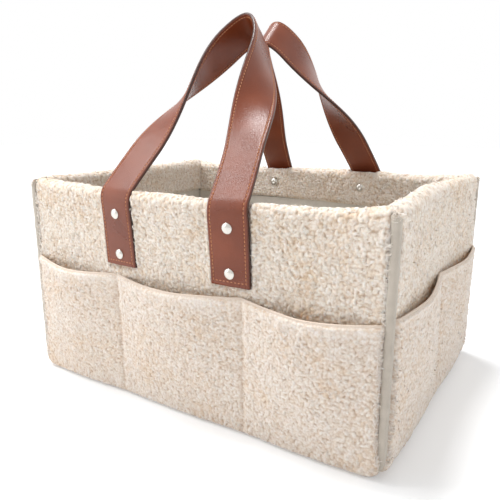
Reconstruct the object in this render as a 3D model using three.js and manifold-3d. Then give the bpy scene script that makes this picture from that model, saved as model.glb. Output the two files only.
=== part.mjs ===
// Soft diaper caddy: an open-topped carrier of pile cloth over stiff boards, with pockets sewn
// round the outside, two riveted strap handles and two lift-out dividers. Millimetres, Z up,
// the front wall faces -Y and the long side runs along X.
import * as THREE from "three";
import { mergeVertices } from "three/addons/utils/BufferGeometryUtils.js";
import Module from "manifold-3d";

const { Vector2, Vector3, Matrix4 } = THREE;

// The whole caddy
const length = 330;
const width = 240;
const height = 178;
const bottomRadius = 14;
const longWallBulge = 10;
const endWallCave = 8;
const longRimSag = 4;

// Layers of the walls and the base, from the outside in
const layerGap = 0.3;
const pileThickness = 5;
const boardThickness = 3;
const liningThickness = 1.2;
const baseClothThickness = 3.5;
const facingDepth = 35;

// Bound corner seam that joins each long wall to the ends and the base
const seamWidth = 5.5;
const bindingProud = 1;

// Pockets sewn on the outside
const pocketBelowTail = 10;
const pocketThickness = 4;
const pocketStitch = 60;
const longPocketGape = 9;
const endPocketGape = 10;
const mouthSag = 3;

// Strap handles and their rivets
const strapWidth = 32;
const strapThickness = 3;
const strapOffset = 52;
const tailDrop = 61;
const bendLength = 3.2;
const bendClearance = 2.5;
const handleRise = 173.5;
const handleMeetingGap = 1;
const rivetRadius = 4;
const rivetDome = 1.5;
const postRadius = 2;
const rivetAboveFoot = 9.5;
const rivetSpacing = 33.5;

// Lift-out dividers with hook and loop tape
const endCompartment = 81;
const dividerBelowFacing = 5;
const dividerThickness = 5;
const flangeLength = 22;
const flangeThickness = 3;
const hookThickness = 1.5;
const loopThickness = 2;
const tapeWidth = 18;
const tapeFoot = 28;
const tapeBelowTop = 14;

// Sizes that follow from those above
const foldRadius = pileThickness + boardThickness / 2 + layerGap;
const foldBase = height - foldRadius;
const boardDepth = pileThickness + layerGap;
const liningDepth = boardDepth + boardThickness + layerGap;
const innerDepth = liningDepth + liningThickness;
const facingFace = 2 * foldRadius;
const facingFoot = height - facingDepth;
const tailFoot = height - tailDrop;
const pocketHeight = tailFoot - pocketBelowTail;
const dividerOffset = length / 2 - endCompartment;
const dividerTop = facingFoot - dividerBelowFacing;
const tapeLength = dividerTop - tapeBelowTop - tapeFoot;

const longWall = { half: length / 2, reach: width / 2, bulge: longWallBulge, sag: longRimSag };
const endWall = { half: width / 2, reach: length / 2, bulge: -endWallCave, sag: 0 };

const wasm = await Module();
wasm.setup();

const materials = {
  pile: new THREE.MeshStandardMaterial({ color: 0xe1d0bc, roughness: 0.95, metalness: 0 }),
  board: new THREE.MeshStandardMaterial({ color: 0xd9d4ca, roughness: 0.9, metalness: 0 }),
  lining: new THREE.MeshStandardMaterial({ color: 0xd3cfc6, roughness: 0.9, metalness: 0 }),
  binding: new THREE.MeshStandardMaterial({ color: 0xc8c6be, roughness: 0.85, metalness: 0 }),
  strap: new THREE.MeshStandardMaterial({ color: 0x8c523e, roughness: 0.5, metalness: 0 }),
  rivet: new THREE.MeshStandardMaterial({ color: 0xd8d4cc, roughness: 0.25, metalness: 1 }),
  tape: new THREE.MeshStandardMaterial({ color: 0xc9c3b6, roughness: 0.95, metalness: 0 }),
};

const caddy = new THREE.Group();
caddy.name = "diaper_caddy";

// Shaping helpers

// Closed solid through a row of closed loops that all have the same even number of points.
// The first half of a loop faces the second half, which lets the ends close as strips.
function sweep(loops) {
  const count = loops[0].length;
  const last = (loops.length - 1) * count;
  const points = loops.flat();
  const faces = [];
  for (let i = 0; i < last; i += count) {
    for (let j = 0; j < count; j++) {
      const [a, b] = [i + j, i + ((j + 1) % count)];
      const [c, d] = [b + count, a + count];
      const shorter = points[a].distanceTo(points[c]) < points[b].distanceTo(points[d]);
      faces.push(...(shorter ? [a, b, c, a, c, d] : [a, b, d, b, c, d]));
    }
  }
  for (let j = 0; j + 1 < count / 2; j++) {
    const [a, b, c, d] = [j, j + 1, count - 2 - j, count - 1 - j];
    faces.push(a, c, b, a, d, c);
    faces.push(last + a, last + b, last + c, last + a, last + c, last + d);
  }
  let volume = 0;
  for (let i = 0; i < faces.length; i += 3) {
    const [a, b, c] = [points[faces[i]], points[faces[i + 1]], points[faces[i + 2]]];
    volume += a.dot(new Vector3().crossVectors(b, c));
  }
  const geometry = new THREE.BufferGeometry().setFromPoints(points);
  geometry.setIndex(volume < 0 ? faces.reverse() : faces);
  return geometry;
}

function toManifold(geometry) {
  const bare = geometry.clone();
  bare.deleteAttribute("normal");
  bare.deleteAttribute("uv");
  const welded = mergeVertices(bare, 1e-4);
  const vertProperties = new Float32Array(welded.attributes.position.array);
  const triVerts = new Uint32Array(welded.index.array);
  return new wasm.Manifold(new wasm.Mesh({ numProp: 3, vertProperties, triVerts }));
}

function cutHoles(geometry, cutters) {
  let solid = toManifold(geometry);
  for (const cutter of cutters) solid = solid.subtract(toManifold(cutter));
  const mesh = solid.getMesh();
  const result = new THREE.BufferGeometry();
  result.setAttribute("position", new THREE.BufferAttribute(mesh.vertProperties, 3));
  result.setIndex(new THREE.BufferAttribute(mesh.triVerts, 1));
  return result;
}

function add(parent, name, geometry, material) {
  const bare = geometry.index ? geometry.toNonIndexed() : geometry;
  bare.computeVertexNormals();
  const mesh = new THREE.Mesh(bare, material);
  mesh.name = name;
  parent.add(mesh);
  return mesh;
}

const steps = (count) => Array.from({ length: count + 1 }, (_, i) => i / count);
const mix = (a, b, t) => a + (b - a) * t;

// Walls: a place on a wall is u along it, v up it and a depth in from its outer face. A wall bulges
// most in its middle, and its rim sags between the corners, which hold it up.

function wallPoint(wall, u, v, depth) {
  const rise = (v / height) ** 2;
  const middle = Math.cos((Math.PI * u) / (2 * wall.half)) ** 2;
  const slack = 1 - (u / wall.half) ** 6;
  return new Vector3(u, depth - wall.reach - wall.bulge * middle * rise, v - wall.sag * slack * rise);
}

function wallFrame(wall, u, v, depth) {
  const along = wallPoint(wall, u + 1, v, depth).sub(wallPoint(wall, u - 1, v, depth)).normalize();
  const upward = wallPoint(wall, u, v + 1, depth).sub(wallPoint(wall, u, v - 1, depth));
  const outward = new Vector3().crossVectors(along, upward).normalize();
  const across = new Vector3().crossVectors(along, outward);
  const frame = new Matrix4().makeBasis(along, outward, across);
  return frame.setPosition(wallPoint(wall, u, v, depth));
}

// Layers stop short of the corner seam and meet at a mitre behind it
const inset = (layer) => Math.max(layer, seamWidth) + layerGap / 2;

// Stations along a long wall, whose lower corners are rounded
function longStations(count) {
  const flat = longWall.half - bottomRadius;
  const rows = [];
  const corner = (angle, sign) => ({
    u: (layer) => sign * (flat + (bottomRadius - inset(layer)) * Math.sin(angle)),
    low: (layer) => bottomRadius + bindingProud - (bottomRadius - inset(layer)) * Math.cos(angle),
  });
  const angles = steps(4).slice(1).map((t) => (t * Math.PI) / 2);
  for (const angle of [...angles].reverse()) rows.push(corner(angle, -1));
  for (const t of steps(count)) {
    rows.push({ u: () => mix(-flat, flat, t), low: (layer) => inset(layer) + bindingProud });
  }
  for (const angle of angles) rows.push(corner(angle, 1));
  return rows;
}

function endStations(count) {
  return steps(count).map((t) => ({
    u: (layer) => mix(-1, 1, t) * (endWall.half - inset(layer)),
    low: () => bottomRadius,
  }));
}

// A profile point holds its depth, the layer it belongs to and its height on a station
const spot = (depth, height, layer = depth) => ({ depth, layer, v: () => height });
const legSpot = (depth, t, top) => ({
  depth,
  layer: depth,
  v: (station) => mix(station.low(depth), top, t),
});

function turnSpots(layer) {
  return steps(5).slice(0, 5).map((t) => {
    const angle = (t * Math.PI) / 2;
    const radius = bottomRadius - layer;
    const depth = bottomRadius - radius * Math.sin(angle);
    return spot(depth, bottomRadius - radius * Math.cos(angle), layer);
  });
}

// One layer of a wall between two depths, straight down or turned in under the base
function layerProfile(near, far, top, turned) {
  const leg = (depth) => steps(4).map((t) => legSpot(depth, t, top));
  const foot = (depth) => (turned ? turnSpots(depth) : []);
  return [...foot(near), ...leg(near), ...leg(far).reverse(), ...foot(far).reverse()];
}

// Pile cloth of a wall, carried over the rim and down the inside as a facing
function foldedProfile(turned) {
  const arc = (radius, angle) =>
    spot(foldRadius - radius * Math.cos(angle), foldBase + radius * Math.sin(angle));
  const outer = steps(6).slice(1, 6).map((t) => arc(foldRadius, t * Math.PI));
  const hollow = steps(6).slice(1, 6).map((t) => arc(foldRadius - pileThickness, t * Math.PI));
  const legs = layerProfile(0, pileThickness, foldBase, turned);
  const split = legs.length / 2;
  const facingBack = facingFace - pileThickness;
  const facing = [spot(facingFace, foldBase), spot(facingFace, facingFoot)];
  const back = [spot(facingBack, facingFoot), spot(facingBack, foldBase)];
  const fold = [...outer, ...facing, ...back, ...hollow.reverse()];
  return [...legs.slice(0, split), ...fold, ...legs.slice(split)];
}

function wallSolid(wall, stations, profile) {
  return sweep(stations.map((row) =>
    profile.map((p) => wallPoint(wall, row.u(p.layer), p.v(row), p.depth))));
}

// Pocket cloth: held along its foot, its ends and the stitch lines, gaping at the mouth between
function pocketSolid(wall, stitches, gape, stations, turned) {
  const edge = wall.half - inset(0);
  const bounds = [-edge, ...stitches, edge];
  const open = (u) => {
    const bay = Math.min(Math.max(bounds.findIndex((b) => b > u + 1e-6), 1), bounds.length - 1);
    return Math.max(0, Math.sin((Math.PI * (u - bounds[bay - 1])) / (bounds[bay] - bounds[bay - 1])));
  };
  return sweep(stations.map(({ u, low }) => {
    const mouth = pocketHeight - mouthSag * open(u);
    const thick = pocketThickness * mix(0.55, 1, open(u));
    const inner = (t) => -layerGap - gape * open(u) * t * (2 - t);
    const foot = (depth) => (turned ? turnSpots(-layerGap - depth).slice(3) : [])
      .map((p) => wallPoint(wall, u, p.v(), p.depth));
    const leg = (depth) => [...foot(depth), ...steps(5).map((t) =>
      wallPoint(wall, u, mix(low, mouth, t), inner(t) - depth))];
    const hem = [0.2, 0.8].map((side) =>
      wallPoint(wall, u, mouth + 0.35 * thick, inner(1) - side * thick));
    return [...leg(0), ...hem, ...leg(thick).reverse()];
  }));
}

// Long walls: front, and the same again turned half round for the back

const longRows = longStations(8);
const wallUnits = [
  { side: "front", turn: 0, names: { plus: "right", minus: "left" } },
  { side: "back", turn: Math.PI, names: { plus: "left", minus: "right" } },
];
const rivetHeights = { lower: tailFoot + rivetAboveFoot, upper: tailFoot + rivetAboveFoot + rivetSpacing };
const tailDepth = -layerGap - strapThickness;

const rivetSpots = [-1, 1].flatMap((sign) =>
  Object.entries(rivetHeights).map(([level, v]) => {
    const backFace = v > facingFoot ? facingFace : innerDepth;
    const place = wallFrame(longWall, sign * strapOffset, v, 0);
    return { sign, level, place, backFace, grip: backFace - tailDepth + 2 * layerGap };
  }));

const bores = rivetSpots.map(({ place }) => {
  const through = 4 * facingFace;
  const bore = new THREE.CylinderGeometry(postRadius + layerGap, postRadius + layerGap, through, 10);
  return bore.applyMatrix4(place);
});

const pocketRows = (() => {
  const flat = longWall.half - bottomRadius;
  const low = inset(0) + bindingProud;
  const bays = [-flat, -pocketStitch, pocketStitch, flat];
  const rows = longStations(1).map((row) => ({ u: row.u(0), low: row.low(0) }));
  const between = bays.slice(1).flatMap((end, i) =>
    steps(i === 1 ? 10 : 7).slice(1).map((t) => ({ u: mix(bays[i], end, t), low })));
  return [...rows.slice(0, 5), ...between.slice(0, -1), ...rows.slice(5)];
})();

// Seam binding: a rounded bead down one corner, along the foot and up the other corner
function bindingSolid() {
  const centre = (seamWidth - layerGap / 2 - bindingProud) / 2;
  const size = (seamWidth - layerGap / 2 + bindingProud) / 2;
  const radius = bottomRadius - centre;
  const flat = longWall.half - bottomRadius;
  const turn = bottomRadius + bindingProud;
  const path = [{ x: -flat - radius, z: height - 4, angle: -Math.PI / 2 }];
  for (const t of steps(6)) {
    const angle = mix(-Math.PI / 2, 0, t);
    path.push({ x: -flat + radius * Math.sin(angle), z: turn - radius * Math.cos(angle), angle });
  }
  for (const t of steps(6)) {
    const angle = mix(0, Math.PI / 2, t);
    path.push({ x: flat + radius * Math.sin(angle), z: turn - radius * Math.cos(angle), angle });
  }
  path.push({ x: flat + radius, z: height - 4, angle: Math.PI / 2 });
  const bead = steps(8).slice(1).map((t) => {
    const angle = (t - 1 / 16) * 2 * Math.PI;
    const reach = size / Math.cos(Math.PI / 8);
    return [reach * Math.cos(angle), reach * Math.sin(angle)];
  });
  return sweep(path.map(({ x, z, angle }) =>
    bead.map(([out, back]) => new Vector3(
      x + out * Math.sin(angle),
      centre - longWall.reach + back,
      z - out * Math.cos(angle),
    ))));
}

// Domed cap with its post, and the pressed cap that closes it inside
function rivetCap(grip) {
  const points = [new Vector2(0, -grip), new Vector2(postRadius, -grip), new Vector2(postRadius, 0)];
  for (const t of steps(3)) {
    const angle = (t * Math.PI) / 2;
    points.push(new Vector2(rivetRadius * Math.cos(angle), 0.4 + rivetDome * Math.sin(angle)));
  }
  points.splice(3, 0, new Vector2(rivetRadius, 0));
  points[points.length - 1].x = 0;
  return new THREE.LatheGeometry(points, 10);
}

function rivetBack() {
  const socket = postRadius + layerGap;
  const points = [new Vector2(0, 0.9), new Vector2(socket, 0.9), new Vector2(socket, 0)];
  points.push(new Vector2(rivetRadius, 0), new Vector2(rivetRadius, 0.4));
  points.push(new Vector2(0.7 * rivetRadius, 0.4 + 0.75 * rivetDome), new Vector2(0, 0.4 + rivetDome));
  return new THREE.LatheGeometry(points, 10);
}

// Handle: each leg rises from the rim flat to the wall and turns a quarter before the legs meet
const strapRim = wallPoint(longWall, strapOffset - strapWidth / 2, foldBase, 0);
const hinge = {
  y: strapRim.y - layerGap - strapThickness / 2,
  z: strapRim.z + bendLength,
};
const handleReach = Math.hypot(handleRise + strapThickness / 2, strapWidth / 2);
const handleLean =
  Math.asin(Math.min(0.95, (-hinge.y - handleMeetingGap) / handleReach)) -
  Math.atan2(strapWidth / 2, handleRise + strapThickness / 2);

function handleSolid() {
  const leg = new THREE.CubicBezierCurve3(
    new Vector3(strapOffset, 0, 0),
    new Vector3(strapOffset, 0, 0.08 * handleRise),
    new Vector3(0.5 * strapOffset, 0, handleRise),
    new Vector3(0, 0, handleRise),
  );
  const ribs = [];
  for (const t of steps(20)) {
    const centre = leg.getPoint(t);
    const along = leg.getTangent(t);
    const outward = new Vector3(along.z, 0, -along.x);
    const turn = (Math.PI / 2) * THREE.MathUtils.smoothstep(t, 0.42, 0.9);
    const face = new Vector3(0, -Math.cos(turn), 0).addScaledVector(outward, Math.sin(turn));
    const across = new Vector3(0, Math.sin(turn), 0).addScaledVector(outward, Math.cos(turn));
    ribs.push({ centre, face, across, thick: strapThickness });
  }
  const foot = ribs[0];
  const rounded = [0.95, 0.7, 0.35].map((drop, i) => ({
    centre: foot.centre.clone().add(new Vector3(0, 0, (-drop * strapThickness) / 2)),
    face: foot.face,
    across: foot.across,
    thick: strapThickness * [0.3, 0.71, 0.94][i],
  }));
  const mirrored = (rib) => ({
    centre: rib.centre.clone().setX(-rib.centre.x),
    face: rib.face.clone().setX(-rib.face.x),
    across: rib.across.clone().setX(-rib.across.x),
    thick: rib.thick,
  });
  const half = [...rounded, ...ribs];
  const all = [...half, ...half.slice(0, -1).reverse().map(mirrored)];
  return sweep(all.map(({ centre, face, across, thick }) =>
    [[-1, -1], [1, -1], [1, 1], [-1, 1]].map(([a, f]) =>
      centre.clone()
        .addScaledVector(across, (a * strapWidth) / 2)
        .addScaledVector(face, (f * thick) / 2))));
}

// Patch that lies on a wall between two depths
function patchSolid(wall, middle, wide, low, high, near, far) {
  const rows = steps(2).map((t) => middle + (t - 0.5) * wide);
  return sweep(rows.map((u) => [
    ...steps(3).map((t) => wallPoint(wall, u, mix(low, high, t), near)),
    ...steps(3).map((t) => wallPoint(wall, u, mix(high, low, t), far)),
  ]));
}

const rivetShapes = rivetSpots.map(({ grip }) => rivetCap(grip + 0.5));
const longPanel = cutHoles(wallSolid(longWall, longRows, foldedProfile(false)), bores);
const boardEnd = boardDepth + boardThickness;
const longBoard = cutHoles(
  wallSolid(longWall, longRows, layerProfile(boardDepth, boardEnd, foldBase, false)), bores);
const liningTop = facingFoot - layerGap;
const longLining = cutHoles(
  wallSolid(longWall, longRows, layerProfile(liningDepth, innerDepth, liningTop, false)), bores);
const longPocket = pocketSolid(longWall, [-pocketStitch, pocketStitch], longPocketGape, pocketRows, false);
const binding = bindingSolid();
const handle = handleSolid();

for (const { side, turn, names } of wallUnits) {
  const wall = new THREE.Group();
  wall.name = `${side}_wall`;
  wall.rotation.z = turn;
  caddy.add(wall);
  add(wall, `${side}_sherpa_panel`, longPanel, materials.pile);
  add(wall, `${side}_stiffener`, longBoard, materials.board);
  add(wall, `${side}_lining`, longLining, materials.lining);
  add(wall, `${side}_pocket_panel`, longPocket, materials.pile);
  add(wall, `${side}_seam_binding`, binding, materials.binding);

  for (const sign of [-1, 1]) {
    const hand = sign > 0 ? names.plus : names.minus;
    const tail = patchSolid(longWall, sign * strapOffset, strapWidth, tailFoot,
      foldBase - bendClearance, tailDepth, -layerGap);
    add(wall, `${side}_strap_tail_${hand}`, cutHoles(tail, bores), materials.strap);
    const tape = patchSolid(longWall, sign * (dividerOffset + flangeLength / 2 + dividerThickness / 2),
      tapeWidth, tapeFoot, tapeFoot + tapeLength, innerDepth + layerGap / 2, innerDepth + loopThickness);
    add(wall, `${side}_loop_tape_${hand}`, tape, materials.tape);
  }

  rivetSpots.forEach(({ sign, level, place, backFace }, i) => {
    const hand = sign > 0 ? names.plus : names.minus;
    const cap = add(wall, `${side}_rivet_cap_${hand}_${level}`, rivetShapes[i], materials.rivet);
    cap.position.y = layerGap - tailDepth;
    cap.applyMatrix4(place);
    const back = add(wall, `${side}_rivet_back_${hand}_${level}`, rivetBack(), materials.rivet);
    back.rotation.x = Math.PI;
    back.position.y = -backFace - layerGap;
    back.applyMatrix4(place);
  });

  const swing = new THREE.Group();
  swing.name = `${side}_handle_swing`;
  swing.position.set(0, hinge.y, hinge.z);
  swing.rotation.x = -handleLean;
  wall.add(swing);
  add(swing, `${side}_handle`, handle, materials.strap);
}

// End walls: right, and the same again turned half round for the left

const endRows = endStations(8);
const endPanel = wallSolid(endWall, endRows, foldedProfile(true));
const endBoard = wallSolid(endWall, endRows, layerProfile(boardDepth, boardEnd, foldBase, false));
const endLining = wallSolid(endWall, endRows, layerProfile(liningDepth, innerDepth, liningTop, true));
const endEdge = endWall.half - inset(0);
const endPocketRows = steps(14).map((t) => ({ u: mix(-endEdge, endEdge, t), low: bottomRadius }));
const endPocket = pocketSolid(endWall, [0], endPocketGape, endPocketRows, true);

for (const [side, turn] of [["right", Math.PI / 2], ["left", -Math.PI / 2]]) {
  const wall = new THREE.Group();
  wall.name = `${side}_wall`;
  wall.rotation.z = turn;
  caddy.add(wall);
  add(wall, `${side}_sherpa_panel`, endPanel, materials.pile);
  add(wall, `${side}_stiffener`, endBoard, materials.board);
  add(wall, `${side}_lining`, endLining, materials.lining);
  add(wall, `${side}_pocket_panel`, endPocket, materials.pile);
}

// Base: cloth outside, board in the middle, lining as the floor

const floorLength = length - 2 * bottomRadius - layerGap;
function baseLayer(name, low, high, material) {
  const slab = new THREE.BoxGeometry(floorLength, width - 2 * inset(high), high - low);
  slab.translate(0, 0, (low + high) / 2);
  add(caddy, name, slab, material);
}
baseLayer("base_panel", 0, baseClothThickness, materials.binding);
baseLayer("base_board", baseClothThickness + layerGap, boardEnd, materials.board);
baseLayer("floor_lining", liningDepth, innerDepth, materials.lining);

// Dividers: a stiff covered panel with a turned flange and a strip of hook tape at each end

const tapeFace = width / 2 - facingFace - layerGap;
const flangeFace = tapeFace - hookThickness;
function dividerSolid() {
  const inner = dividerOffset - dividerThickness / 2;
  const outer = dividerOffset + dividerThickness / 2;
  const tip = outer + flangeLength;
  const plan = new THREE.Shape([
    new Vector2(inner, -flangeFace),
    new Vector2(tip, -flangeFace),
    new Vector2(tip, flangeThickness - flangeFace),
    new Vector2(outer, flangeThickness - flangeFace),
    new Vector2(outer, flangeFace - flangeThickness),
    new Vector2(tip, flangeFace - flangeThickness),
    new Vector2(tip, flangeFace),
    new Vector2(inner, flangeFace),
  ]);
  const foot = innerDepth + layerGap;
  const panel = new THREE.ExtrudeGeometry(plan, { depth: dividerTop - foot, bevelEnabled: false });
  return panel.translate(0, 0, foot);
}
const hookMiddle = dividerOffset + (dividerThickness + flangeLength) / 2;
for (const [side, turn] of [["right", 0], ["left", Math.PI]]) {
  const divider = new THREE.Group();
  divider.name = `${side}_divider`;
  divider.rotation.z = turn;
  caddy.add(divider);
  add(divider, `${side}_divider_panel`, dividerSolid(), materials.lining);
  for (const sign of [-1, 1]) {
    const facing = (sign < 0) === (turn === 0) ? "front" : "back";
    const tape = new THREE.BoxGeometry(tapeWidth, hookThickness, tapeLength);
    tape.translate(hookMiddle, (sign * (flangeFace + tapeFace)) / 2, tapeFoot + tapeLength / 2);
    add(divider, `${side}_divider_hook_${facing}`, tape, materials.tape);
  }
}

export default caddy;
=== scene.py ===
import math

import bpy
import numpy as np
from mathutils import Matrix


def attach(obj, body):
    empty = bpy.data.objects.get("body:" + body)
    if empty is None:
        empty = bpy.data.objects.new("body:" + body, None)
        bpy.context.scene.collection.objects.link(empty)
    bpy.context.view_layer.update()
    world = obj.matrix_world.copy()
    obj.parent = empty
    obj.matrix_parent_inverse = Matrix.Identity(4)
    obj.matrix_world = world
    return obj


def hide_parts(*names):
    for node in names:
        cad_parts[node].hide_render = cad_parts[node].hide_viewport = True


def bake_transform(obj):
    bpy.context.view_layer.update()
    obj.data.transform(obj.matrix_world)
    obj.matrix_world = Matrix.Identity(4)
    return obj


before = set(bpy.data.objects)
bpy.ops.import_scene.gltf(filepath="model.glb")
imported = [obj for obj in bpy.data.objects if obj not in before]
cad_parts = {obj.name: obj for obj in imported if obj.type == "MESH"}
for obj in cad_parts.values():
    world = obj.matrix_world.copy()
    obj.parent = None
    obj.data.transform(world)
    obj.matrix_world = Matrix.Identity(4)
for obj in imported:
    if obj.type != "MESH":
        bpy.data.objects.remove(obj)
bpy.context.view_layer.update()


# Table and light. The caddy stands on a white table top that runs on into a white background.
# Light falls from above and mostly from the left. Three weak lamps and a pale room fill the shadows.

def new_finish(name):
    finish = bpy.data.materials.new(name)
    finish.use_nodes = True
    tree = finish.node_tree
    return finish, tree, tree.nodes["Principled BSDF"]


def feed(tree, node, values):
    for socket, value in values.items():
        if isinstance(value, bpy.types.NodeSocket):
            tree.links.new(value, node.inputs[socket])
        else:
            node.inputs[socket].default_value = value


def figure(tree, kind, first, second=0.0, third=0.0):
    step = tree.nodes.new("ShaderNodeMath")
    step.operation = kind
    feed(tree, step, {0: first, 1: second, 2: third})
    return step.outputs[0]


def seen_directly(tree):
    path = tree.nodes.new("ShaderNodeLightPath")
    seen = path.outputs["Is Camera Ray"]
    for kind in ("Is Glossy Ray", "Is Transmission Ray"):
        seen = figure(tree, "MAXIMUM", seen, path.outputs[kind])
    return seen


room_light = 0.5
table_size = 8.0
table_glow = 0.265
aim_height = 0.1
room = bpy.data.worlds.new("white_room")
bpy.context.scene.world = room
room.use_nodes = True
tree = room.node_tree
room_level = figure(tree, "MULTIPLY_ADD", seen_directly(tree), 1.0 - room_light, room_light)
feed(tree, tree.nodes["Background"], {"Color": (1.0, 1.0, 1.0, 1.0), "Strength": room_level})

bpy.ops.mesh.primitive_grid_add(x_subdivisions=8, y_subdivisions=8, size=table_size)
table = bpy.context.object
table.name = "table_top"
white_top, tree, surface = new_finish("white_table_top")
glow_level = figure(tree, "MULTIPLY", seen_directly(tree), table_glow)
feed(tree, surface, {"Base Color": (0.76, 0.77, 0.78, 1.0), "Roughness": 0.9,
                     "Emission Color": (1.0, 1.0, 1.0, 1.0), "Emission Strength": glow_level})
table.data.materials.append(white_top)


def soft_lamp(name, kind, place, spread, strength):
    lamp = bpy.data.lights.new(name, kind)
    if kind == "SUN":
        lamp.angle = spread
    else:
        lamp.shape = "DISK"
        lamp.size = spread
    lamp.energy = strength
    stand = bpy.data.objects.new(name, lamp)
    stand.location = place
    stand.visible_camera = False
    flat = math.hypot(place[0], place[1])
    tilt = math.atan2(flat, place[2] - aim_height)
    stand.rotation_euler = (tilt, 0.0, math.atan2(place[0], -place[1]))
    bpy.context.scene.collection.objects.link(stand)


soft_lamp("lamp_above", "SUN", (-0.25, 0.08, 1.03), math.radians(13.0), 2.15)
soft_lamp("lamp_left", "AREA", (-0.82, -0.42, 1.4), 0.6, 8.7)
soft_lamp("lamp_front", "AREA", (-0.58, -0.58, 0.42), 0.8, 2.1)
soft_lamp("lamp_right", "AREA", (1.5, 0.1, 0.8), 1.4, 4.5)
soft_lamp("lamp_back", "AREA", (0.6, 1.7, 0.8), 1.4, 3.0)

lens = bpy.data.cameras.new("camera")
lens.sensor_width = 36.0
lens.lens = 38.76
lens.clip_end = 20.0
camera = bpy.data.objects.new("camera", lens)
bpy.context.scene.collection.objects.link(camera)
camera_right = (0.8445, 0.5355, 0.0)
camera_up = (-0.1275, 0.2010, 0.9713)
camera_back = (0.5201, -0.8203, 0.2380)
camera_place = (0.25354, -0.41841, 0.22792)
columns = list(zip(camera_right, camera_up, camera_back, camera_place))
camera.matrix_world = Matrix([*columns, (0.0, 0.0, 0.0, 1.0)])
bpy.context.scene.camera = camera
bpy.context.scene.view_settings.view_transform = "Standard"


# Stiff boards. Each wall has one greyboard sheet between its pile and its lining, and a thicker one
# lies in the base. They are slipped in before the last seam is closed and can't be seen.

def pattern(tree, kind, scale, **settings):
    where = tree.nodes.new("ShaderNodeTexCoord").outputs["Object"]
    texture = tree.nodes.new("ShaderNodeTex" + kind)
    feed(tree, texture, {"Vector": where, "Scale": scale, **settings})
    return texture


def colour_steps(tree, level, *steps):
    ramp = tree.nodes.new("ShaderNodeValToRGB")
    stops = ramp.color_ramp.elements
    while len(stops) < len(steps):
        stops.new(0.5)
    for stop, (position, colour) in zip(stops, steps):
        stop.position = position
        stop.color = (*colour, 1.0)
    tree.links.new(level, ramp.inputs["Fac"])
    return ramp.outputs["Color"]


def raise_surface(tree, surface, height, strength, depth):
    bump = tree.nodes.new("ShaderNodeBump")
    feed(tree, bump, {"Height": height, "Strength": strength, "Distance": depth})
    tree.links.new(bump.outputs["Normal"], surface.inputs["Normal"])


greyboard, tree, surface = new_finish("pressed_greyboard")
fleck = pattern(tree, "Noise", 900.0, Detail=4.0).outputs["Fac"]
grey = colour_steps(tree, fleck, (0.3, (0.33, 0.31, 0.28)), (0.62, (0.52, 0.49, 0.45)))
feed(tree, surface, {"Base Color": grey, "Roughness": 0.92})
raise_surface(tree, surface, fleck, 0.3, 0.0002)
for name in ("front_stiffener", "back_stiffener", "right_stiffener", "left_stiffener", "base_board"):
    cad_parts[name].material_slots[0].material = greyboard


# Base cloth and floor lining. Two cut sheets of plain-weave canvas close the base below and above its
# board. Their edges are turned in and caught in the seams round the foot of the walls.

def new_piece(name, points, faces):
    mesh = bpy.data.meshes.new(name)
    mesh.from_pydata((points.reshape(-1, 3) * 0.001).tolist(), [], faces)
    mesh.shade_smooth()
    piece = bpy.data.objects.new(name, mesh)
    bpy.context.scene.collection.objects.link(piece)
    return piece


def add_chart(piece, name, chart):
    layer = piece.data.uv_layers.new(name=name)
    layer.data.foreach_set("uv", chart.ravel())


def cloth_piece(name, grid, closed=False, capped=False, lie=None):
    rows, cols = grid.shape[:2]
    index = np.arange(rows * cols).reshape(rows, cols)
    near = index if closed else index[:, :-1]
    far = np.roll(index, -1, axis=1) if closed else index[:, 1:]
    quads = np.stack([near[:-1], far[:-1], far[1:], near[1:]], axis=-1)
    faces = quads.reshape(-1, 4).tolist()
    count = quads.shape[1]
    r, c = np.meshgrid(np.arange(rows - 1), np.arange(count), indexing="ij")
    corner_r = np.stack([r, r, r + 1, r + 1], axis=-1) / (rows - 1)
    corner_c = np.stack([c, c + 1, c + 1, c], axis=-1) / count
    chart = np.stack([0.01 + 0.9 * corner_c, 0.01 + 0.98 * corner_r], axis=-1).reshape(-1, 2)
    if capped:
        turn = np.linspace(0, 2 * np.pi, cols, endpoint=False)
        ring = np.stack([np.cos(turn), np.sin(turn)], axis=-1) * 0.03
        faces.append(index[0][::-1].tolist())
        faces.append(index[-1].tolist())
        chart = np.concatenate([chart, ring[::-1] + (0.955, 0.2), ring + (0.955, 0.6)])
    piece = new_piece(name, grid, faces)
    add_chart(piece, "OFBake", chart)
    if lie is not None:
        used = np.zeros(len(piece.data.loops), dtype=np.int32)
        piece.data.loops.foreach_get("vertex_index", used)
        add_chart(piece, "cloth", lie.reshape(-1, 2)[used] * 0.001)
    return piece


def plain_weave(tree, thread):
    lie = tree.nodes.new("ShaderNodeUVMap")
    lie.uv_map = "cloth"
    ways = tree.nodes.new("ShaderNodeSeparateXYZ")
    tree.links.new(lie.outputs["UV"], ways.inputs[0])
    ridges = []
    for way in ("X", "Y"):
        turn = figure(tree, "MULTIPLY", ways.outputs[way], math.pi / thread)
        wave = figure(tree, "SINE", turn)
        ridges.append(figure(tree, "ABSOLUTE", wave))
    over = tree.nodes.new("ShaderNodeTexChecker")
    feed(tree, over, {"Vector": lie.outputs["UV"], "Scale": 1.0 / thread})
    height = tree.nodes.new("ShaderNodeMix")
    feed(tree, height, {"Factor": over.outputs["Fac"], "A": ridges[0], "B": ridges[1]})
    return height.outputs["Result"]


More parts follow.
